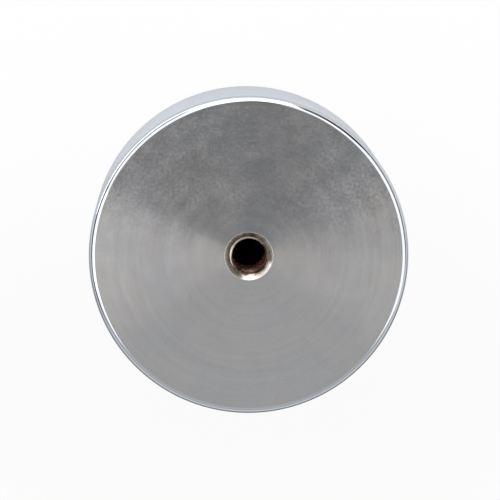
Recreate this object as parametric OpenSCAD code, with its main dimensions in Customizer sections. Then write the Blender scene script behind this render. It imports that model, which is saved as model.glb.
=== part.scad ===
// Round holding electromagnet: a turned steel pot core with a coil potted into its ring groove.
// The working face lies on z = 0, and the back face with the mounting thread is on top.

/* [Pot core] */
// Outer diameter of the pot core
body_d = 65; // [60:0.5:80]
// Height from the working face to the back face
body_h = 30; // [27:0.5:40]
// Thickness of the wall round the ring groove
wall_t = 4.5; // [3.5:0.1:6]
// Diameter of the centre pole
pole_d = 33; // [26:0.5:36]
// Thickness of the closed back
back_t = 9; // [7:0.5:12]
// Radius of the rounded edge round the back face
rim_round = 1.25; // [0.4:0.05:2.5]
// Leg of the chamfer round the working face
face_chamfer = 0.5; // [0.2:0.1:1.5]
// Leg of the chamfers on both lips of the ring groove
lip_chamfer = 0.3; // [0.1:0.1:0.8]

/* [Mounting thread] */
// Nominal diameter of the mounting thread
thread_d = 8; // [6:1:10]
// Pitch of the mounting thread
thread_pitch = 1.25; // [0.75:0.25:1.5]
// Depth of the tapped hole at its full diameter
hole_depth = 15; // [10:0.5:18]
// Point angle of the drill that made the hole
drill_angle = 118; // [90:1:140]
// How far the countersink reaches outside the thread
sink_margin = 0.9; // [0.3:0.1:2]
// Full angle of the countersink
sink_angle = 90; // [82:1:130]

/* [Lead outlet] */
// Direction of the outlet round the body, in degrees from +X
outlet_azimuth = -90; // [-180:5:180]
// Depth of the outlet's axis below the back face
outlet_depth = 17; // [15:0.5:19]
// Diameter of the outlet's hole through the wall
outlet_d = 6; // [5:0.1:7]
// Diameter of the bush's head
bush_head_d = 8.4; // [7.5:0.1:10]
// Thickness of the bush's head
bush_head_t = 1; // [0.6:0.1:1.5]
// How far the bush's head lies below the side wall
bush_sink = 0.4; // [0.4:0.1:1]
// Radius on the edges of the bush's head
bush_round = 0.4; // [0.1:0.1:0.5]
// Radial clearance round the bush
bush_gap = 0.05; // [0.02:0.01:0.2]
// Diameter of the bush's bore for the leads
lead_bore_d = 3.4; // [2:0.1:4]

/* [Coil] */
// Radial clearance between the centre pole and the bobbin
pole_gap = 0.3; // [0.1:0.05:0.6]
// Radial clearance between the bobbin's flanges and the groove
flange_gap = 0.5; // [0.2:0.05:0.8]
// Thickness of the bobbin's barrel
barrel_t = 1.2; // [0.6:0.1:2]
// Thickness of each flange of the bobbin
flange_t = 1.2; // [0.8:0.1:2]
// Thickness of the tape round the winding
tape_t = 0.2; // [0.1:0.05:0.5]
// Diameter of the enamelled wire
wire_d = 0.4; // [0.2:0.05:0.6]
// Clearance round a wire where it passes through another piece
wire_gap = 0.15; // [0.05:0.05:0.3]
// Bend radius of the two wire tails
wire_bend = 0.8; // [0.5:0.1:1]
// Thickness of the resin over the bobbin
resin_cover = 1.7; // [1:0.1:3]
// How far the resin lies below the working face
resin_recess = 0.3; // [0.1:0.1:0.8]

/* [Splices] */
// Outer diameter of an insulating sleeve
sleeve_d = 2.2; // [1.6:0.1:2.8]
// Wall thickness of an insulating sleeve
sleeve_t = 0.3; // [0.2:0.05:0.4]
// Length of an insulating sleeve along its arc
sleeve_len = 13; // [11:0.5:18]
// Arc from the outlet's axis to the near end of a sleeve
sleeve_offset = 4; // [3.5:0.5:8]
// Clearance on both sides of a sleeve, to the tape and to the flanges' rim
splice_gap = 0.2; // [0.1:0.05:0.4]
// Length of a soldered joint along its arc
joint_len = 9; // [5:0.5:10]
// Radial clearance between a soldered joint and its sleeve
joint_gap = 0.05; // [0.02:0.01:0.1]
// Length of wire between a sleeve's end and its first bend
tail_out = 1; // [0.5:0.1:3]

/* [Hidden] */
$fn = 96;

// Overshoot of a cut past the surface that it opens
cut_over = 1;

// Pot core
body_r = body_d / 2;
pole_r = pole_d / 2;
groove_r = body_r - wall_t;
groove_floor = body_h - back_t;

// Mounting hole, with a countersink and a drill point
hole_r = (thread_d - thread_pitch) / 2;
sink_r = thread_d / 2 + sink_margin;
sink_h = (sink_r - hole_r) / tan(sink_angle / 2);
point_h = hole_r / tan(drill_angle / 2);

// Lead outlet and its bush
outlet_z = body_h - outlet_depth;
bush_seat = bush_sink + bush_head_t;
bush_len = wall_t - bush_sink;

// Bobbin, seated on the floor of the groove
bobbin_front = resin_recess + resin_cover;
bore_r = pole_r + pole_gap;
barrel_r = bore_r + barrel_t;
flange_r = groove_r - flange_gap;
winding_front = bobbin_front + flange_t;
winding_back = groove_floor - flange_t;

// Sleeves, side by side with the outlet in the space between the tape and the flanges' rim
tape_r = flange_r - sleeve_d - 2 * splice_gap;
winding_r = tape_r - tape_t;
splice_r = tape_r + splice_gap + sleeve_d / 2;
sleeve_end = sleeve_offset + sleeve_len;
joint_inset = (sleeve_len - joint_len) / 2;
joint_d = sleeve_d - 2 * sleeve_t - 2 * joint_gap;

// Angle, in degrees, of an arc of the given length along the splices' circle
function splice_angle(arc) = arc / splice_r * 180 / PI;

// Ring cut from one rectangle
module ring_profile(r_in, r_out, z_low, z_high) {
    translate([r_in, z_low])
        square([r_out - r_in, z_high - z_low]);
}

// What a radius takes off an outward corner that points to +X and +Y and lies at the origin
module corner_waste(radius) {
    translate([-radius, -radius])
        difference() {
            square(radius + cut_over);
            circle(radius);
        }
}

// Places children at the lead outlet, with X along its axis and Z up
module at_outlet() {
    rotate([0, 0, outlet_azimuth])
        translate([0, 0, outlet_z])
            children();
}

// Cylinder along X, from one radius of the body to another
module radial_rod(diameter, r_from, r_to) {
    translate([r_from, 0, 0])
        rotate([0, 90, 0])
            cylinder(d = diameter, h = r_to - r_from);
}

// Sweeps a flat shape along the splices' circle, between two arcs from the outlet's axis
module splice_sweep(arc_from, arc_to) {
    rotate([0, 0, splice_angle(arc_from)])
        rotate_extrude(angle = splice_angle(arc_to - arc_from))
            translate([splice_r, 0])
                children();
}

// Places children where a tail leaves its sleeve, with X outwards and Y along the wire
module at_sleeve_end() {
    rotate([0, 0, splice_angle(sleeve_end)])
        translate([splice_r, 0, 0])
            children();
}

// Places children where a tail starts to bend, with X outwards and Y along the wire
module at_tail_bend() {
    at_sleeve_end()
        translate([0, tail_out, 0])
            children();
}

// Quarter bend of wire that starts at the origin along +X and leaves along +Y
module wire_elbow(radius) {
    translate([0, radius, 0])
        rotate([0, 0, -90])
            rotate_extrude(angle = 90)
                translate([radius, 0])
                    circle(d = wire_d);
}

// Right half of the core's section, with the groove, the mounting hole and the broken edges
module core_profile() {
    difference() {
        ring_profile(0, body_r, 0, body_h);
        ring_profile(pole_r, groove_r, -cut_over, groove_floor);
        polygon([
            [pole_r - lip_chamfer - cut_over, -cut_over],
            [groove_r + lip_chamfer + cut_over, -cut_over],
            [groove_r, lip_chamfer],
            [pole_r, lip_chamfer],
        ]);
        polygon([
            [body_r - face_chamfer - cut_over, -cut_over],
            [body_r + cut_over, -cut_over],
            [body_r + cut_over, face_chamfer + cut_over],
        ]);
        translate([body_r, body_h])
            corner_waste(rim_round);
        polygon([
            [0, body_h + cut_over],
            [sink_r, body_h + cut_over],
            [sink_r, body_h],
            [hole_r, body_h - sink_h],
            [hole_r, body_h - hole_depth],
            [0, body_h - hole_depth - point_h],
        ]);
    }
}

// Body, back and centre pole, turned from one piece and plated
module pot_core() {
    color([0.72, 0.73, 0.75])
        difference() {
            rotate_extrude()
                core_profile();
            at_outlet() {
                radial_rod(outlet_d, groove_r - cut_over, body_r + cut_over);
                radial_rod(bush_head_d + 2 * bush_gap, body_r - bush_seat, body_r + cut_over);
            }
        }
}

// Moulded spool, with a slot in its back flange for the inner end of the wire
module coil_bobbin() {
    slot_w = wire_d + 2 * wire_gap;
    color([0.93, 0.92, 0.88])
        difference() {
            rotate_extrude() {
                ring_profile(bore_r, barrel_r, bobbin_front, groove_floor);
                ring_profile(bore_r, flange_r, bobbin_front, winding_front);
                ring_profile(bore_r, flange_r, winding_back, groove_floor);
            }
            at_outlet()
                at_tail_bend()
                    translate([barrel_r - splice_r, wire_bend - slot_w / 2, winding_back - cut_over - outlet_z])
                        cube([groove_r - barrel_r, slot_w, flange_t + 2 * cut_over]);
        }
}

// All the turns of enamelled copper wire
module coil_winding() {
    color([0.72, 0.36, 0.16])
        rotate_extrude()
            ring_profile(barrel_r, winding_r, winding_front, winding_back);
}

// Tape round the winding, pierced where the outer end of the wire comes out
module winding_tape() {
    color([0.86, 0.71, 0.24])
        difference() {
            rotate_extrude()
                ring_profile(winding_r, tape_r, winding_front, winding_back);
            at_outlet()
                mirror([0, 1, 0])
                    at_tail_bend()
                        translate([0, wire_bend, 0])
                            radial_rod(wire_d + 2 * wire_gap, winding_r - splice_r - cut_over, 0);
        }
}

// The stretch of a tail from its soldered joint to the end of the sleeve
module tail_stem() {
    splice_sweep(sleeve_end - joint_inset, sleeve_end)
        circle(d = wire_d);
}

// The stretch of a tail from the end of the sleeve to its first bend
module tail_reach() {
    at_sleeve_end()
        rotate([-90, 0, 0])
            cylinder(d = wire_d, h = tail_out);
}

// Way of the inner end outside its sleeve: up, in through the flange's slot and down to the winding
module start_route() {
    dip = flange_t / 2;
    slot_z = winding_back + dip - outlet_z;
    inner_x = barrel_r + wire_d + dip - splice_r;
    tail_reach();
    at_tail_bend() {
        rotate([90, 0, 90])
            wire_elbow(wire_bend);
        translate([0, wire_bend, wire_bend])
            cylinder(d = wire_d, h = slot_z - 2 * wire_bend);
        translate([0, wire_bend, slot_z - wire_bend])
            rotate([90, -90, 0])
                wire_elbow(wire_bend);
        translate([0, wire_bend, slot_z]) {
            radial_rod(wire_d, inner_x, -wire_bend);
            translate([inner_x, 0, 0])
                rotate([90, 180, 0])
                    wire_elbow(dip);
        }
    }
}

// Way of the outer end outside its sleeve: straight in through the tape
module finish_route() {
    tail_reach();
    at_tail_bend() {
        rotate([0, 0, 90])
            wire_elbow(wire_bend);
        translate([0, wire_bend, 0])
            radial_rod(wire_d, winding_r - splice_r, -wire_bend);
    }
}

// Inner end of the wire, from the winding to its joint
module start_tail() {
    color([0.65, 0.29, 0.12])
        at_outlet() {
            tail_stem();
            start_route();
        }
}

// Outer end of the wire, from the winding to its joint
module finish_tail() {
    color([0.65, 0.29, 0.12])
        at_outlet()
            mirror([0, 1, 0]) {
                tail_stem();
                finish_route();
            }
}

// Soldered joint between a tail and its lead
module solder_joint() {
    color([0.78, 0.79, 0.80])
        at_outlet()
            splice_sweep(sleeve_offset + joint_inset, sleeve_end - joint_inset)
                circle(d = joint_d);
}

module start_joint() {
    solder_joint();
}

module finish_joint() {
    mirror_at_outlet()
        solder_joint();
}

// Insulating sleeve over a soldered joint
module splice_sleeve() {
    color([0.10, 0.10, 0.11])
        at_outlet()
            splice_sweep(sleeve_offset, sleeve_end)
                difference() {
                    circle(d = sleeve_d);
                    circle(d = sleeve_d - 2 * sleeve_t);
                }
}

module start_sleeve() {
    splice_sleeve();
}

module finish_sleeve() {
    mirror_at_outlet()
        splice_sleeve();
}

// Mirrors children across the upright plane through the outlet's axis
module mirror_at_outlet() {
    mirror([sin(outlet_azimuth), -cos(outlet_azimuth), 0])
        children();
}

// Space of a sleeve and what is in it
module sleeve_space() {
    splice_sweep(sleeve_offset, sleeve_end)
        circle(d = sleeve_d);
}

// Cast resin over the bobbin and round the splices
module potting_resin() {
    color([0.09, 0.09, 0.10])
        difference() {
            rotate_extrude() {
                ring_profile(pole_r, groove_r, resin_recess, bobbin_front);
                ring_profile(flange_r, groove_r, resin_recess, groove_floor);
                ring_profile(tape_r, groove_r, winding_front, winding_back);
            }
            at_outlet() {
                sleeve_space();
                start_route();
                mirror([0, 1, 0]) {
                    sleeve_space();
                    finish_route();
                }
            }
        }
}

// Bush that keeps the leads off the edge of the steel, with its head sunk into the side wall
module lead_bush() {
    shank_r = outlet_d / 2 - bush_gap;
    head_r = bush_head_d / 2;
    color([0.07, 0.07, 0.08])
        at_outlet()
            translate([groove_r, 0, 0])
                rotate([0, 90, 0])
                    rotate_extrude()
                        difference() {
                            union() {
                                ring_profile(lead_bore_d / 2, shank_r, 0, bush_len);
                                ring_profile(lead_bore_d / 2, head_r, bush_len - bush_head_t, bush_len);
                            }
                            translate([head_r, bush_len])
                                corner_waste(bush_round);
                            translate([lead_bore_d / 2, bush_len])
                                mirror([1, 0])
                                    corner_waste(bush_round);
                        }
}

pot_core();
coil_bobbin();
coil_winding();
winding_tape();
start_tail();
finish_tail();
start_joint();
finish_joint();
start_sleeve();
finish_sleeve();
potting_resin();
lead_bush();
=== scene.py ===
"""Looks of a round holding electromagnet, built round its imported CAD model."""
import math

import bpy
import numpy as np
from mathutils import Euler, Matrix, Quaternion, Vector


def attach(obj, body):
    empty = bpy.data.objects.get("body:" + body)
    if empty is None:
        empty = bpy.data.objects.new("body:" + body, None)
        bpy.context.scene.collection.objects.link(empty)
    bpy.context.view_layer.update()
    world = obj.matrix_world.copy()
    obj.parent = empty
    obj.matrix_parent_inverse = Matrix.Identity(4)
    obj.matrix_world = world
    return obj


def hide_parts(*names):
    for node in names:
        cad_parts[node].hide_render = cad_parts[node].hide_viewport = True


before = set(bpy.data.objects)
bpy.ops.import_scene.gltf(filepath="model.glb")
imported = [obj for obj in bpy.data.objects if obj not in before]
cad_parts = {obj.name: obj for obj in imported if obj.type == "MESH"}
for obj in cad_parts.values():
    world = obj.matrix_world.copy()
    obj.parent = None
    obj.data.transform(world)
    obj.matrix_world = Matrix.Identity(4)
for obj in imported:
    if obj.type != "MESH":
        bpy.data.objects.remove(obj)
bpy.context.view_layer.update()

MM = 0.001

# Camera, as it stood for the photograph: over the back face, tilted a little towards +Y and -X
IMAGE_PX = 500
SENSOR_MM = 36
FOCAL_PX = 3012
FACE_CENTRE_PX = (248.9, 256.2)
CAMERA_DISTANCE = 0.611
CAMERA_TILT = Euler((-math.radians(7.05), -math.radians(1.25), 0))

# Pot core, in millimetres
BODY_R = 32.5
BODY_H = 30.0
GROOVE_R = 28.0
GROOVE_FLOOR = 21.0
POLE_R = 16.5
RIM_WIDTH = 1.25
RIM_CREASE = math.radians(12)
RIM_ROUND = RIM_WIDTH / (1 - math.sin(RIM_CREASE))
FACE_CHAMFER = 0.5
LIP_CHAMFER = 0.3

# Mounting hole
THREAD_R = 4.0
THREAD_PITCH = 1.25
CORE_R = 3.375
HOLE_DEPTH = 15.0
POINT_HALF_ANGLE = math.radians(59)
POINT_H = CORE_R / math.tan(POINT_HALF_ANGLE)
SINK_R = 4.9
SINK_TILT = math.radians(45)
SINK_EDGE_ROUND = 0.2
FLANK_ANGLE = math.radians(30)
CREST_HALF = 0.15
THREAD_DEPTH = 12.0
THREAD_END = 13.0
THREAD_START = 0.30
ROWS_PER_PITCH = 24
EDGE_PASSES = 2

# Lead outlet, which points to -Y
OUTLET_Z = 13.0
OUTLET_R = 3.0
SEAT_R = 4.25
SEAT_DEPTH = 1.4
SEAT_EDGE = 0.15

# Columns of the core's mesh, and half the columns of the patch round the outlet
COLUMNS = 192
OUTLET_COLUMN = 144
PATCH_HALF = 6
PATCH_BLENDS = (0.12, 0.3, 0.6)

# Steps along the core's profile, and rows and rings that only divide its long faces, in millimetres
FACE_STEPS = 7
RIM_STEPS = 17
SINK_EDGE_STEPS = 4
WALL_TOP_ROW = 24.0
WALL_LOW_ROW = 3.0
POLE_RINGS = (8.0, 1.0)

# Parts of a noise's range that are spread over a value, and over a change of colour
VALUE_SPAN = (0.3, 0.7)
COLOR_SPAN = (0.35, 0.65)

# Back face: lean of its tool marks, and where along Y the plating's grain sets in
MARK_LEAN = 0.082
GRAIN_EDGE = (1, 14)

WIRE_PITCH = 0.4

# Floor: half its width in metres, and in millimetres where it is painted darker towards -Y as painted shade,
# where its shadow fades out and where its mirror image turns white. In the shadow the camera sees that share
# of plain white.
FLOOR_REACH = 6.0
FLOOR_SHADE_EDGE = (-40, 30)
SHADOW_FADE = (40, 140)
SHADOW_WHITE = 0.94
MIRROR_FADE = (90, 360)

# Lamps: distance in metres, and energy for each square metre of a lamp with a strength of 1
LAMP_DISTANCE = 0.8
LAMP_ENERGY = 4

# Studio: white at the horizon and grey above it. Heights are sines of the elevation, angles are in degrees.
# An opening has its azimuth and elevation, the angles from there where it is full and where it ends, and its
# tint: two nested ones round the camera, and one above the back lamp. A low opening has its azimuth and the
# height of its top. The spread is the cosine of the angle to its azimuth where it starts and where it is full.
STUDIO_GREY = (0.58, 0.58, 0.58)
GREY_START = (0.09, 0.18)
OPENINGS = (
    (76, 82, 16.6, 22.6, (0.85, 0.75, 0.68)),
    (76, 82, 15.2, 17.4, (0.495, 0.56, 0.63)),
    (92, 58, 8.5, 12.5, (0.30, 0.30, 0.31)),
)
LOW_OPENINGS = ((180, 0.46), (137, 0.44), (56, 0.56), (22, 0.50))
LOW_TINT = (0.14, 0.14, 0.15)
LOW_START = (0.035, 0.08)
LOW_TOP_HALF = 0.05
LOW_SPREAD = (0.78, 0.94)

FINISHES = ("turned_back", "polished_side", "tapped_hole", "ground_face", "bored_steel")
UP = np.array([0.0, 0.0, 1.0])
COLUMN_ANGLE = 2 * math.pi / COLUMNS
ANGLES = np.arange(COLUMNS) * COLUMN_ANGLE
OUTWARDS = np.stack([np.cos(ANGLES), np.sin(ANGLES), np.zeros(COLUMNS)], axis=1)
ROUND = np.stack([-np.sin(ANGLES), np.cos(ANGLES), np.zeros(COLUMNS)], axis=1)


class Shell:
    """Points, faces, corner normals and finishes of one closed mesh, in millimetres."""

    def __init__(self):
        self.points = []
        self.faces = []
        self.normals = []
        self.finishes = []
        self.lathe_rings = {}

    def ring(self, points):
        """Stores a row of points and returns their numbers."""
        first = len(self.points)
        self.points.extend(np.asarray(points, float))
        return list(range(first, len(self.points)))

    def lathe_ring(self, radius, z):
        """A full circle round the axis, made once for each radius and height."""
        key = (round(radius, 5), round(z, 5))
        if key not in self.lathe_rings:
            self.lathe_rings[key] = self.ring(OUTWARDS * radius + UP * z)
        return self.lathe_rings[key]

    def face(self, corners, normals, finish):
        """Adds a face, turned to the side that its corner normals point to."""
        first, second, third, last = (self.points[i] for i in (*corners[:3], corners[-1]))
        across = np.cross(third - first, last - second)
        if np.dot(across, np.sum(normals, axis=0)) < 0:
            corners = corners[::-1]
            normals = normals[::-1]
        self.faces.append(corners)
        self.normals.extend(normals)
        self.finishes.append(FINISHES.index(finish))

    def strip(self, ring_a, ring_b, normals_a, normals_b, finish, skipped=()):
        """Joins two closed rings of as many points with quads, but not at the skipped columns."""
        count = len(ring_a)
        for j in range(count):
            if j in skipped:
                continue
            k = (j + 1) % count
            corners = [ring_a[j], ring_a[k], ring_b[k], ring_b[j]]
            self.face(corners, [normals_a[j], normals_a[k], normals_b[k], normals_b[j]], finish)

    def fan(self, ring, tip, normals, finish):
        """Closes a ring with triangles that meet in one point."""
        centre = self.ring([tip])[0]
        for j in range(len(ring)):
            k = (j + 1) % len(ring)
            middle = normals[j] + normals[k]
            middle = middle / np.linalg.norm(middle)
            self.face([ring[j], ring[k], centre], [normals[j], normals[k], middle], finish)

    def lathe(self, stations, finish, patch_rows=()):
        """Turns a profile of (radius, z, outward normal, upward normal) round the axis."""
        patch = range(OUTLET_COLUMN - PATCH_HALF, OUTLET_COLUMN + PATCH_HALF)
        for (r_a, z_a, out_a, up_a), (r_b, z_b, out_b, up_b) in zip(stations, stations[1:]):
            cut = z_a in patch_rows and z_b in patch_rows
            self.strip(
                self.lathe_ring(r_a, z_a),
                self.lathe_ring(r_b, z_b),
                OUTWARDS * out_a + UP * up_a,
                OUTWARDS * out_b + UP * up_b,
                finish,
                patch if cut else (),
            )

    def to_object(self, name, materials):
        """Makes the Blender object, without the points that no face uses."""
        used = sorted({i for corners in self.faces for i in corners})
        number = {old: new for new, old in enumerate(used)}
        mesh = bpy.data.meshes.new(name)
        points = [tuple(self.points[i] * MM) for i in used]
        mesh.from_pydata(points, [], [[number[i] for i in corners] for corners in self.faces])
        for material in materials:
            mesh.materials.append(material)
        mesh.polygons.foreach_set("material_index", self.finishes)
        mesh.polygons.foreach_set("use_smooth", [True] * len(self.faces))
        mesh.update()
        mesh.normals_split_custom_set([tuple(normal) for normal in self.normals])
        piece = bpy.data.objects.new(name, mesh)
        bpy.context.scene.collection.objects.link(piece)
        return piece


def on_cylinder(radius, arc, z):
    """Points of an upright cylinder, by their arc from the outlet's axis and their height."""
    angle = arc / radius - math.pi / 2
    return np.stack([radius * np.cos(angle), radius * np.sin(angle), z], axis=1)


def radial(points, side):
    """Normals of an upright cylinder at some of its points, outwards for 1 and inwards for -1."""
    flat = np.array(points) * (1, 1, 0)
    return side * flat / np.linalg.norm(flat, axis=1, keepdims=True)


PATCH_STEP = BODY_R * COLUMN_ANGLE
PATCH_ROWS = [OUTLET_Z + k * PATCH_STEP for k in range(-PATCH_HALF, PATCH_HALF + 1)]
SIDE_COUNT = 2 * PATCH_HALF
PATCH_TURN = np.arange(4 * SIDE_COUNT) * (2 * math.pi / (4 * SIDE_COUNT)) - math.pi / 4
PATCH_X = np.cos(PATCH_TURN)
PATCH_Z = np.sin(PATCH_TURN)
PATCH_OUT = np.stack([PATCH_X, np.zeros(len(PATCH_X)), PATCH_Z], axis=1)


def patch_border():
    """Column and row of each point on the patch's border, from its lower right corner round."""
    up = [(PATCH_HALF, k) for k in range(-PATCH_HALF, PATCH_HALF)]
    left = [(-k, PATCH_HALF) for k in range(-PATCH_HALF, PATCH_HALF)]
    down = [(-PATCH_HALF, -k) for k in range(-PATCH_HALF, PATCH_HALF)]
    right = [(k, -PATCH_HALF) for k in range(-PATCH_HALF, PATCH_HALF)]
    return up + left + down + right


def add_patch(shell, wall_r, hole_r, side, finish):
    """Fills the wall between the outlet's hole and the columns round it, and returns the hole's edge."""
    border = patch_border()
    rings = [shell.lathe_ring(wall_r, z) for z in PATCH_ROWS]
    outer = [rings[row + PATCH_HALF][OUTLET_COLUMN + column] for column, row in border]
    hole_arc = wall_r * np.arcsin(hole_r * PATCH_X / wall_r)
    hole_z = OUTLET_Z + hole_r * PATCH_Z
    outer_arc = np.array([wall_r * column * COLUMN_ANGLE for column, row in border])
    outer_z = np.array([PATCH_ROWS[row + PATCH_HALF] for column, row in border])
    chain = []
    for blend in (0, *PATCH_BLENDS):
        arc = hole_arc + blend * (outer_arc - hole_arc)
        z = hole_z + blend * (outer_z - hole_z)
        chain.append(shell.ring(on_cylinder(wall_r, arc, z)))
    chain.append(outer)
    for ring_a, ring_b in zip(chain, chain[1:]):
        normals_a = radial([shell.points[i] for i in ring_a], side)
        normals_b = radial([shell.points[i] for i in ring_b], side)
        shell.strip(ring_a, ring_b, normals_a, normals_b, finish)
    return chain[0]


def outlet_circle(radius, y):
    """Circle round the outlet's axis, at one depth or at a depth for each point."""
    points = PATCH_OUT * radius + UP * OUTLET_Z
    points[:, 1] = y
    return points


def add_outlet(shell):
    """Counterbored hole through the wall, with its edge broken."""
    edge = add_patch(shell, BODY_R, SEAT_R + SEAT_EDGE, 1, "polished_side")
    inner_edge = add_patch(shell, GROOVE_R, OUTLET_R, -1, "bored_steel")
    lip_y = SEAT_EDGE - np.sqrt(BODY_R ** 2 - (SEAT_R * PATCH_X) ** 2)
    seat_y = SEAT_DEPTH - BODY_R
    lip = shell.ring(outlet_circle(SEAT_R, lip_y))
    seat = shell.ring(outlet_circle(SEAT_R, seat_y))
    seat_inner = shell.ring(outlet_circle(OUTLET_R, seat_y))
    facing = np.tile([0.0, -1.0, 0.0], (len(PATCH_X), 1))
    bevel = (facing - PATCH_OUT) * math.sqrt(0.5)
    shell.strip(edge, lip, bevel, bevel, "polished_side")
    shell.strip(lip, seat, -PATCH_OUT, -PATCH_OUT, "bored_steel")
    shell.strip(seat, seat_inner, facing, facing, "bored_steel")
    shell.strip(seat_inner, inner_edge, -PATCH_OUT, -PATCH_OUT, "bored_steel")


def thread_radius(depth):
    """Radius of the tapped wall for each column at some depths: 60-degree ridges on a right-hand helix."""
    turns = (BODY_H - depth[:, None]) / THREAD_PITCH - ANGLES[None, :] / (2 * math.pi) + THREAD_START
    from_crest = np.abs(turns % 1 - 0.5) * THREAD_PITCH
    cut = np.clip((from_crest - CREST_HALF) / math.tan(FLANK_ANGLE), 0, THREAD_R - CORE_R)
    fade = np.clip((THREAD_END - depth) / (THREAD_END - THREAD_DEPTH), 0, 1)
    sink = SINK_R - depth / math.tan(SINK_TILT)
    radius = np.maximum(CORE_R + cut * fade[:, None], sink[:, None])
    for _ in range(EDGE_PASSES):
        radius[1:-1] = (radius[:-2] + 2 * radius[1:-1] + radius[2:]) / 4
    return radius


def add_hole(shell):
    """Countersunk, tapped and drilled hole. Returns the radius where it meets the back face."""
    sink_out = -math.sin(SINK_TILT)
    sink_up = math.cos(SINK_TILT)
    mouth_r = SINK_R + SINK_EDGE_ROUND * math.tan(SINK_TILT / 2)
    stations = []
    for turn in np.linspace(0, SINK_TILT, SINK_EDGE_STEPS):
        r = mouth_r - SINK_EDGE_ROUND * math.sin(turn)
        z = BODY_H - SINK_EDGE_ROUND * (1 - math.cos(turn))
        stations.append((r, z, -math.sin(turn), math.cos(turn)))
    first_depth = (SINK_R - THREAD_R) * math.tan(SINK_TILT)
    stations.append((THREAD_R, BODY_H - first_depth, sink_out, sink_up))
    shell.lathe(stations, "tapped_hole")

    row_count = round((THREAD_END - first_depth) / THREAD_PITCH * ROWS_PER_PITCH)
    depth = np.linspace(first_depth, THREAD_END, row_count)
    radius = thread_radius(depth)
    round_slope = (np.roll(radius, -1, axis=1) - np.roll(radius, 1, axis=1)) / (2 * COLUMN_ANGLE)
    axial_slope = -np.gradient(radius, depth, axis=0)
    before = shell.lathe_ring(THREAD_R, BODY_H - first_depth)
    before_normals = None
    for row in range(row_count):
        r = radius[row][:, None]
        normals = ROUND * round_slope[row][:, None] / r + UP * axial_slope[row][:, None] - OUTWARDS
        normals = normals / np.linalg.norm(normals, axis=1, keepdims=True)
        if row:
            ring = shell.ring(OUTWARDS * r + UP * (BODY_H - depth[row]))
            shell.strip(before, ring, before_normals, normals, "tapped_hole")
            before = ring
        before_normals = normals

    drilled = shell.lathe_ring(CORE_R, BODY_H - HOLE_DEPTH)
    shell.strip(before, drilled, -OUTWARDS, -OUTWARDS, "tapped_hole")
    point = math.hypot(CORE_R, POINT_H)
    cone = OUTWARDS * (-POINT_H / point) + UP * (CORE_R / point)
    shell.fan(drilled, UP * (BODY_H - HOLE_DEPTH - POINT_H), cone, "tapped_hole")
    return mouth_r


def build_core(materials):
    """Body, back and centre pole in one closed mesh."""
    shell = Shell()
    mouth_r = add_hole(shell)
    face_r = BODY_R - RIM_WIDTH
    shell.lathe([(r, BODY_H, 0, 1) for r in np.linspace(mouth_r, face_r, FACE_STEPS)], "turned_back")

    side = []
    for turn in np.linspace(RIM_CREASE, math.pi / 2, RIM_STEPS):
        r = BODY_R - RIM_ROUND * (1 - math.sin(turn))
        z = BODY_H - RIM_ROUND * (math.cos(RIM_CREASE) - math.cos(turn))
        side.append((r, z, math.sin(turn), math.cos(turn)))
    wall_z = [WALL_TOP_ROW, *PATCH_ROWS[::-1], WALL_LOW_ROW, FACE_CHAMFER]
    side.extend((BODY_R, z, 1, 0) for z in wall_z)
    shell.lathe(side, "polished_side", PATCH_ROWS)

    slant = math.sqrt(0.5)
    ring_out = BODY_R - FACE_CHAMFER
    ring_in = GROOVE_R + LIP_CHAMFER
    pole_out = POLE_R - LIP_CHAMFER
    shell.lathe([(BODY_R, FACE_CHAMFER, slant, -slant), (ring_out, 0, slant, -slant)], "ground_face")
    shell.lathe([(ring_out, 0, 0, -1), (ring_in, 0, 0, -1)], "ground_face")
    shell.lathe([(ring_in, 0, -slant, -slant), (GROOVE_R, LIP_CHAMFER, -slant, -slant)], "ground_face")
    groove_z = [LIP_CHAMFER, WALL_LOW_ROW, *PATCH_ROWS, GROOVE_FLOOR]
    shell.lathe([(GROOVE_R, z, -1, 0) for z in groove_z], "bored_steel", PATCH_ROWS)
    shell.lathe([(GROOVE_R, GROOVE_FLOOR, 0, -1), (POLE_R, GROOVE_FLOOR, 0, -1)], "bored_steel")
    shell.lathe([(POLE_R, GROOVE_FLOOR, 1, 0), (POLE_R, LIP_CHAMFER, 1, 0)], "bored_steel")
    shell.lathe([(POLE_R, LIP_CHAMFER, slant, -slant), (pole_out, 0, slant, -slant)], "ground_face")
    shell.lathe([(r, 0, 0, -1) for r in (pole_out, *POLE_RINGS)], "ground_face")
    pole_centre = shell.lathe_ring(POLE_RINGS[-1], 0)
    shell.fan(pole_centre, UP * 0, np.tile(-UP, (COLUMNS, 1)), "ground_face")
    add_outlet(shell)
    return shell.to_object("turned_core", materials)


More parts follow.
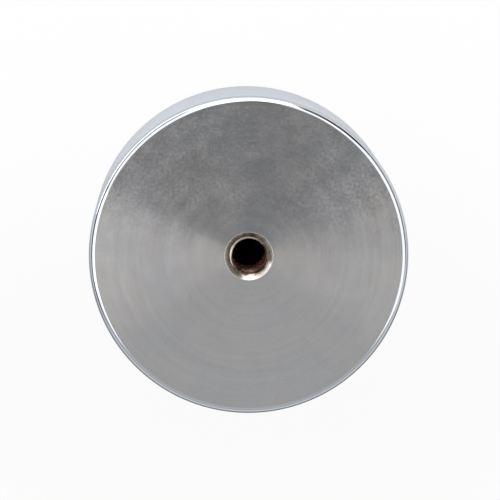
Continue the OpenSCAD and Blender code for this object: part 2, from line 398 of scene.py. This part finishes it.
class Nodes:
    """Adds nodes to a shader tree. Values are constants or outputs of other nodes."""

    def __init__(self, tree):
        self.tree = tree

    def feed(self, socket, value):
        """Links a node's output to a socket, or gives the socket a constant."""
        if isinstance(value, bpy.types.NodeSocket):
            self.tree.links.new(value, socket)
        elif isinstance(value, tuple) and len(value) == 3 and socket.type == "RGBA":
            socket.default_value = (*value, 1)
        else:
            socket.default_value = value

    def node(self, kind, inputs=None, **settings):
        """Adds a node with its settings, and feeds its inputs by name or number."""
        node = self.tree.nodes.new("ShaderNode" + kind)
        for name, value in settings.items():
            setattr(node, name, value)
        for key, value in (inputs or {}).items():
            self.feed(node.inputs[key], value)
        return node

    def math(self, operation, a, b=0.0):
        return self.node("Math", {0: a, 1: b}, operation=operation).outputs[0]

    def vector(self, operation, a, b=(0, 0, 0), scale=1.0):
        return self.node("VectorMath", {0: a, 1: b, 3: scale}, operation=operation).outputs[0]

    def measure(self, operation, a, b=(0, 0, 0)):
        """A number from vectors: their LENGTH or DOT_PRODUCT."""
        return self.node("VectorMath", {0: a, 1: b}, operation=operation).outputs["Value"]

    def split(self, a):
        return self.node("SeparateXYZ", {0: a}).outputs

    def join(self, x, y, z):
        return self.node("CombineXYZ", {0: x, 1: y, 2: z}).outputs[0]

    def noise(self, vector, scale, detail=2.0, roughness=0.5):
        inputs = {"Vector": vector, "Scale": scale, "Detail": detail, "Roughness": roughness}
        return self.node("TexNoise", inputs).outputs[0]

    def remap(self, value, low, high, to_low, to_high, smooth=False):
        kind = "SMOOTHSTEP" if smooth else "LINEAR"
        inputs = {0: value, 1: low, 2: high, 3: to_low, 4: to_high}
        return self.node("MapRange", inputs, interpolation_type=kind).outputs[0]

    def mix(self, factor, a, b):
        return self.node("Mix", {0: factor, 6: a, 7: b}, data_type="RGBA").outputs[2]

    def shade(self, color, value):
        """A colour times a grey value."""
        return self.vector("SCALE", color, scale=value)


class Finish(Nodes):
    """One procedural material, with places in millimetres of the object."""

    def __init__(self, name, **constants):
        self.material = bpy.data.materials.new(name)
        self.material.use_nodes = True
        super().__init__(self.material.node_tree)
        self.shader = self.tree.nodes["Principled BSDF"]
        place = self.node("TexCoord").outputs["Object"]
        self.place = self.vector("SCALE", place, scale=1 / MM)
        self.set(**constants)

    def set(self, **values):
        """Sets or links sockets of the shader: base_color stands for Base Color."""
        for name, value in values.items():
            title = " ".join("IOR" if word == "ior" else word.capitalize() for word in name.split("_"))
            self.feed(self.shader.inputs[title], value)

    def bump(self, height, distance_mm, normal=None):
        inputs = {"Height": height, "Distance": distance_mm * MM}
        if normal is not None:
            inputs["Normal"] = normal
        return self.node("Bump", inputs).outputs[0]

    def vary(self, noise, low, high):
        """A value that follows a noise from low to high."""
        return self.remap(noise, *VALUE_SPAN, low, high)

    def tones(self, noise, dark, light):
        """A colour that follows a noise from dark to light."""
        return self.mix(self.remap(noise, *COLOR_SPAN, 0, 1), dark, light)

    def rings(self):
        """Distance from the axis and the direction away from it."""
        x, y, _ = self.split(self.place)
        flat = self.join(x, y, 0.0)
        return self.measure("LENGTH", flat), self.vector("NORMALIZE", flat)

    def ring_noise(self, radius, away, per_mm, spread, detail=2.0):
        """Noise drawn out round the axis: fast along the radius, slow along the rings."""
        along = self.vector("SCALE", away, scale=spread)
        x, y, _ = self.split(along)
        return self.noise(self.join(x, y, self.math("MULTIPLY", radius, per_mm)), 1.0, detail)


def turned_back():
    """Plated face with tool marks in rings, steep on one side, and with more grain towards +Y."""
    finish = Finish("turned_back", metallic=1.0, anisotropic=0.95, anisotropic_rotation=0.25)
    radius, away = finish.rings()
    fine = finish.ring_noise(radius, away, 5.0, 2.5, 3.0)
    broad = finish.ring_noise(radius, away, 0.45, 1.1, 3.0)
    turns = finish.ring_noise(radius, away, 1.4, 0.4, 3.0)
    grain = finish.noise(finish.place, 1.8, 3.0, 0.6)
    mottle = finish.noise(finish.place, 0.28, 2.0)
    patches = finish.noise(finish.place, 0.07, 2.0)
    cool = (0.577, 0.590, 0.611)
    warm = (0.596, 0.596, 0.599)
    tint = finish.mix(finish.remap(patches, 0.4, 0.62, 0, 1, True), cool, warm)
    rings = finish.vary(turns, -0.018, 0.018)
    marks = finish.math("ADD", finish.vary(fine, -0.016, 0.016), rings)
    cloud = finish.math("ADD", marks, finish.vary(mottle, -0.022, 0.022))
    level = finish.math("ADD", finish.vary(grain, 0.97, 1.02), cloud)
    finish.set(base_color=finish.shade(tint, level))
    y = finish.split(finish.place)["Y"]
    specks = finish.vary(grain, -0.038, 0.038)
    clouds = finish.math("ADD", specks, finish.vary(mottle, -0.02, 0.02))
    spots = finish.math("MULTIPLY", clouds, finish.remap(y, *GRAIN_EDGE, 0.15, 1, True))
    finish.set(roughness=finish.math("ADD", finish.vary(broad, 0.17, 0.195), spots))
    normal = finish.node("NewGeometry").outputs["Normal"]
    leaning = finish.vector("ADD", normal, finish.vector("SCALE", away, scale=MARK_LEAN))
    ridges = finish.bump(fine, 0.004, finish.vector("NORMALIZE", leaning))
    finish.set(normal=finish.bump(grain, 0.003, ridges))
    finish.set(tangent=finish.node("Tangent", direction_type="RADIAL", axis="Z").outputs[0])
    return finish.material


def polished_side():
    """Bright plating over a polished wall, with faint rings along it."""
    finish = Finish("polished_side", metallic=1.0, specular_tint=(0.79, 0.825, 0.89))
    x, y, z = finish.split(finish.place)
    drawn_out = finish.join(finish.math("MULTIPLY", x, 0.02), finish.math("MULTIPLY", y, 0.02), z)
    lines = finish.noise(drawn_out, 3.0, 3.0)
    haze = finish.noise(finish.place, 0.12, 3.0)
    tint = finish.tones(haze, (0.603, 0.636, 0.684), (0.630, 0.657, 0.697))
    finish.set(base_color=tint)
    streaks = finish.vary(lines, -0.02, 0.03)
    finish.set(roughness=finish.math("ADD", finish.vary(haze, 0.09, 0.14), streaks))
    finish.set(normal=finish.bump(lines, 0.0012))
    return finish.material


def tapped_hole():
    """Countersink with thin plating, rubbed ridges, a thread where copper shows with painted shade and light,
    and a bottom painted dark as shade.
    """
    finish = Finish("tapped_hole", metallic=1.0)
    radius, away = finish.rings()
    stain = finish.noise(finish.place, 0.9, 3.0)
    # Depth along a slightly tilted axis, used for the wear and for the painted shade and light in the hole.
    wear_and_shade_axis = (0.08, -0.17, -1)
    depth = finish.math("ADD", finish.measure("DOT_PRODUCT", finish.place, wear_and_shade_axis), BODY_H)
    ragged = finish.math("ADD", depth, finish.vary(stain, -0.2, 0.2))
    plated = finish.tones(stain, (0.57, 0.525, 0.465), (0.66, 0.615, 0.555))
    rubbed = finish.mix(finish.remap(radius, 3.55, 3.95, 1, 0, True), plated, (0.63, 0.53, 0.455))
    # Painted shade and light: the copper is painted dark just below the plating and bright further down, where
    # the thread gets less light.
    shaded = finish.tones(stain, (0.06, 0.028, 0.022), (0.11, 0.058, 0.046))
    copper = finish.mix(finish.remap(ragged, 2.5, 6.5, 0, 1, True), shaded, (0.62, 0.41, 0.35))
    wear_and_painted_light = finish.mix(finish.remap(ragged, 1.35, 1.8, 0, 1, True), rubbed, copper)
    # Painted shade: the bottom of the hole is painted black, from 11 to 15 mm deep.
    painted_bottom_shade = finish.remap(ragged, 11.0, 15.0, 0, 1, True)
    finish.set(base_color=finish.mix(painted_bottom_shade, wear_and_painted_light, (0.03, 0.02, 0.018)))
    finish.set(roughness=finish.vary(stain, 0.17, 0.30))
    chatter = finish.ring_noise(radius, away, 4.0, 0.8)
    finish.set(normal=finish.bump(stain, 0.006, finish.bump(chatter, 0.015)))
    return finish.material


def ground_face():
    """Working face, turned fine after the potting."""
    finish = Finish("ground_face", metallic=1.0, anisotropic=0.6, anisotropic_rotation=0.25)
    radius, away = finish.rings()
    fine = finish.ring_noise(radius, away, 4.0, 3.0, 3.0)
    grain = finish.noise(finish.place, 0.5, 3.0)
    tint = finish.tones(grain, (0.57, 0.58, 0.60), (0.64, 0.64, 0.645))
    finish.set(base_color=tint)
    finish.set(roughness=finish.vary(fine, 0.24, 0.36))
    finish.set(normal=finish.bump(fine, 0.004))
    finish.set(tangent=finish.node("Tangent", direction_type="RADIAL", axis="Z").outputs[0])
    return finish.material


def bored_steel():
    """Plating over the marks of a drill, inside the outlet and the groove."""
    finish = Finish("bored_steel", metallic=1.0)
    marks = finish.noise(finish.place, 2.2, 3.0)
    finish.set(base_color=finish.tones(marks, (0.46, 0.47, 0.50), (0.56, 0.56, 0.57)))
    finish.set(roughness=finish.vary(marks, 0.28, 0.42))
    finish.set(normal=finish.bump(marks, 0.01))
    return finish.material


def plastic(name, dark, light, grain_per_mm, bump_mm, rough, **constants):
    """Moulded or cast plastic with a fine grain and a slow change of tone."""
    finish = Finish(name, **constants)
    grain = finish.noise(finish.place, grain_per_mm, 3.0)
    cloud = finish.noise(finish.place, 0.15, 2.0)
    finish.set(base_color=finish.tones(cloud, dark, light))
    finish.set(roughness=finish.vary(grain, rough - 0.06, rough + 0.06))
    finish.set(normal=finish.bump(grain, bump_mm))
    return finish.material


def cast_resin():
    """Black epoxy that was poured and left to level, with dust in its skin."""
    finish = Finish("cast_resin", specular_ior_level=0.5)
    swell = finish.noise(finish.place, 0.22, 2.0)
    dust = finish.noise(finish.place, 3.4, 2.0)
    speck = finish.remap(dust, 0.70, 0.76, 0, 1, True)
    tone = finish.tones(swell, (0.012, 0.012, 0.014), (0.022, 0.022, 0.025))
    finish.set(base_color=finish.mix(speck, tone, (0.09, 0.085, 0.08)))
    finish.set(roughness=finish.vary(swell, 0.24, 0.38))
    finish.set(normal=finish.bump(dust, 0.008, finish.bump(swell, 0.12)))
    return finish.material


def enamelled_copper():
    """Copper wire under clear enamel, wound in close turns along the axis."""
    finish = Finish("enamelled_copper", metallic=1.0, coat_weight=0.6, coat_roughness=0.12)
    z = finish.split(finish.place)["Z"]
    turn = finish.math("ABSOLUTE", finish.math("SINE", finish.math("MULTIPLY", z, math.pi / WIRE_PITCH)))
    tone = finish.noise(finish.place, 0.5, 3.0)
    finish.set(base_color=finish.tones(tone, (0.50, 0.19, 0.07), (0.66, 0.30, 0.12)))
    finish.set(roughness=finish.vary(tone, 0.24, 0.36))
    finish.set(normal=finish.bump(turn, 0.15))
    return finish.material


def tape_film():
    """Amber polyester film, a little creased."""
    finish = Finish("tape_film", coat_weight=0.5, coat_roughness=0.08)
    x, y, z = finish.split(finish.place)
    crease = finish.noise(finish.join(x, y, finish.math("MULTIPLY", z, 0.2)), 0.5, 2.0)
    finish.set(base_color=finish.tones(crease, (0.60, 0.38, 0.05), (0.75, 0.52, 0.10)))
    finish.set(roughness=finish.vary(crease, 0.18, 0.3))
    finish.set(normal=finish.bump(crease, 0.05))
    return finish.material


def solder():
    """Tin solder that has run over twisted strands."""
    finish = Finish("solder", metallic=1.0)
    lump = finish.noise(finish.place, 1.6, 2.0)
    finish.set(base_color=finish.tones(lump, (0.62, 0.63, 0.64), (0.78, 0.78, 0.78)))
    finish.set(roughness=finish.vary(lump, 0.2, 0.36))
    finish.set(normal=finish.bump(lump, 0.12))
    return finish.material


def dress_nodes():
    """Gives each carried-over CAD node its material."""
    bobbin = plastic("bobbin_nylon", (0.74, 0.72, 0.65), (0.80, 0.78, 0.72), 2.5, 0.01, 0.42)
    bush = plastic("bush_plastic", (0.010, 0.010, 0.011), (0.018, 0.018, 0.020), 5.0, 0.012, 0.40)
    sleeve = plastic("sleeving", (0.010, 0.010, 0.012), (0.020, 0.020, 0.022), 1.5, 0.03, 0.5)
    copper = enamelled_copper()
    tin = solder()
    materials = {
        "coil_bobbin": bobbin,
        "coil_winding": copper,
        "winding_tape": tape_film(),
        "start_tail": copper,
        "finish_tail": copper,
        "start_joint": tin,
        "finish_joint": tin,
        "start_sleeve": sleeve,
        "finish_sleeve": sleeve,
        "potting_resin": cast_resin(),
        "lead_bush": bush,
    }
    for name, material in materials.items():
        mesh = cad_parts[name].data
        mesh.materials.clear()
        mesh.materials.append(material)


def add_camera():
    """Places the camera so that the back face's centre falls on its pixel of the photograph."""
    data = bpy.data.cameras.new("camera")
    data.sensor_width = SENSOR_MM
    data.lens = FOCAL_PX * SENSOR_MM / IMAGE_PX
    data.clip_start = 0.01
    data.clip_end = 20
    camera = bpy.data.objects.new("camera", data)
    across, down = FACE_CENTRE_PX
    ray = Vector(((across - IMAGE_PX / 2) / FOCAL_PX, -(down - IMAGE_PX / 2) / FOCAL_PX, -1))
    camera.rotation_euler = CAMERA_TILT
    camera.location = Vector((0, 0, BODY_H * MM)) - CAMERA_TILT.to_matrix() @ ray * CAMERA_DISTANCE
    bpy.context.scene.collection.objects.link(camera)
    bpy.context.scene.camera = camera


def toward_sky(azimuth, elevation):
    """Direction at an azimuth from +X and an elevation, both in degrees."""
    level = math.cos(math.radians(elevation))
    return Vector((
        level * math.cos(math.radians(azimuth)),
        level * math.sin(math.radians(azimuth)),
        math.sin(math.radians(elevation)),
    ))


def add_softbox(name, azimuth, elevation, width, height, strength, roll=0):
    """Area lamp that faces the magnet, at an azimuth and an elevation, rolled round its own axis."""
    data = bpy.data.lights.new(name, "AREA")
    data.shape = "RECTANGLE"
    data.size = width
    data.size_y = height
    data.energy = LAMP_ENERGY * width * height * strength
    lamp = bpy.data.objects.new(name, data)
    direction = toward_sky(azimuth, elevation)
    lamp.location = direction * LAMP_DISTANCE
    turn = Quaternion((0, 0, 1), math.radians(roll))
    lamp.rotation_euler = (direction.to_track_quat("Z", "Y") @ turn).to_euler()
    lamp.visible_camera = False
    bpy.context.scene.collection.objects.link(lamp)


def darken(sky, color, toward, far, near, tint):
    """Tints the sky round a direction, from the far to the near cosine of the angle to it."""
    inside = sky.remap(toward, far, near, 0, 1, True)
    return sky.mix(inside, color, sky.vector("MULTIPLY", color, tint))


def add_world():
    """Studio round the magnet: white at the horizon and grey above it, with dark openings."""
    world = bpy.data.worlds.new("studio")
    bpy.context.scene.world = world
    world.use_nodes = True
    sky = Nodes(world.node_tree)
    direction = sky.node("TexCoord").outputs["Generated"]
    x, y, z = sky.split(direction)
    level = sky.vector("NORMALIZE", sky.join(x, y, 0.0))
    color = sky.mix(sky.remap(z, *GREY_START, 0, 1, True), (1.0, 1.0, 1.0), STUDIO_GREY)

    for azimuth, elevation, inner, outer, tint in OPENINGS:
        toward = sky.measure("DOT_PRODUCT", direction, tuple(toward_sky(azimuth, elevation)))
        far = math.cos(math.radians(outer))
        near = math.cos(math.radians(inner))
        color = darken(sky, color, toward, far, near, tint)

    above_floor = sky.remap(z, *LOW_START, 0, 1, True)
    for azimuth, top in LOW_OPENINGS:
        toward = sky.measure("DOT_PRODUCT", level, tuple(toward_sky(azimuth, 0)))
        below_top = sky.remap(z, top - LOW_TOP_HALF, top + LOW_TOP_HALF, 1, 0, True)
        low = sky.math("MULTIPLY", above_floor, below_top)
        color = darken(sky, color, sky.math("MULTIPLY", low, toward), *LOW_SPREAD, LOW_TINT)
    sky.feed(sky.tree.nodes["Background"].inputs["Color"], color)


def add_floor():
    """White floor that keeps the magnet's shadow and stays white out to the horizon, painted darker towards -Y
    as painted shade.
    """
    mesh = bpy.data.meshes.new("floor")
    reach = FLOOR_REACH
    corners = [(-reach, -reach, 0), (reach, -reach, 0), (reach, reach, 0), (-reach, reach, 0)]
    mesh.from_pydata(corners, [], [(0, 1, 2, 3)])
    floor = bpy.data.objects.new("floor", mesh)
    bpy.context.scene.collection.objects.link(floor)
    finish = Finish("floor_paper", roughness=0.9, specular_ior_level=0.0)
    mesh.materials.append(finish.material)
    # Painted shade: the paper is painted darker towards -Y, in front of the magnet, and the metal mirrors it
    # there.
    tone = finish.remap(finish.split(finish.place)["Y"], *FLOOR_SHADE_EDGE, 0, 1, True)
    finish.set(base_color=finish.mix(tone, (0.36, 0.36, 0.37), (0.84, 0.84, 0.84)))
    distance = finish.measure("LENGTH", finish.place)
    ray = finish.node("LightPath").outputs
    mirrored = finish.math("MAXIMUM", ray["Is Glossy Ray"], ray["Is Transmission Ray"])
    whiter = finish.remap(distance, *SHADOW_FADE, SHADOW_WHITE, 1.0, True)
    to_camera = finish.math("MULTIPLY", ray["Is Camera Ray"], whiter)
    to_metal = finish.math("MULTIPLY", mirrored, finish.remap(distance, *MIRROR_FADE, 0.0, 1.0, True))
    white = finish.node("Emission", {"Color": (1.0, 1.0, 1.0), "Strength": 1.0})
    share = finish.math("MAXIMUM", to_camera, to_metal)
    blend = finish.node("MixShader", {0: share, 1: finish.shader.outputs[0], 2: white.outputs[0]})
    finish.feed(finish.tree.nodes["Material Output"].inputs["Surface"], blend.outputs[0])


add_camera()
add_world()
add_floor()
add_softbox("left_box", 190, 47, 0.49, 0.58, 1.04, roll=-27)
add_softbox("right_box", 4, 44.5, 0.88, 0.60, 0.78)
add_softbox("corner_box", 129, 45.5, 0.73, 0.475, 0.78)
add_softbox("back_box", 91, 22.2, 0.61, 0.70, 1.95)
add_softbox("low_box", 140, 5.2, 0.92, 0.12, 2.8)
add_softbox("side_box", 55, 45.5, 0.23, 0.28, 0.85)

core = build_core([turned_back(), polished_side(), tapped_hole(), ground_face(), bored_steel()])
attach(core, "root")
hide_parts("pot_core")
dress_nodes()

bpy.context.scene.view_settings.view_transform = "Standard"
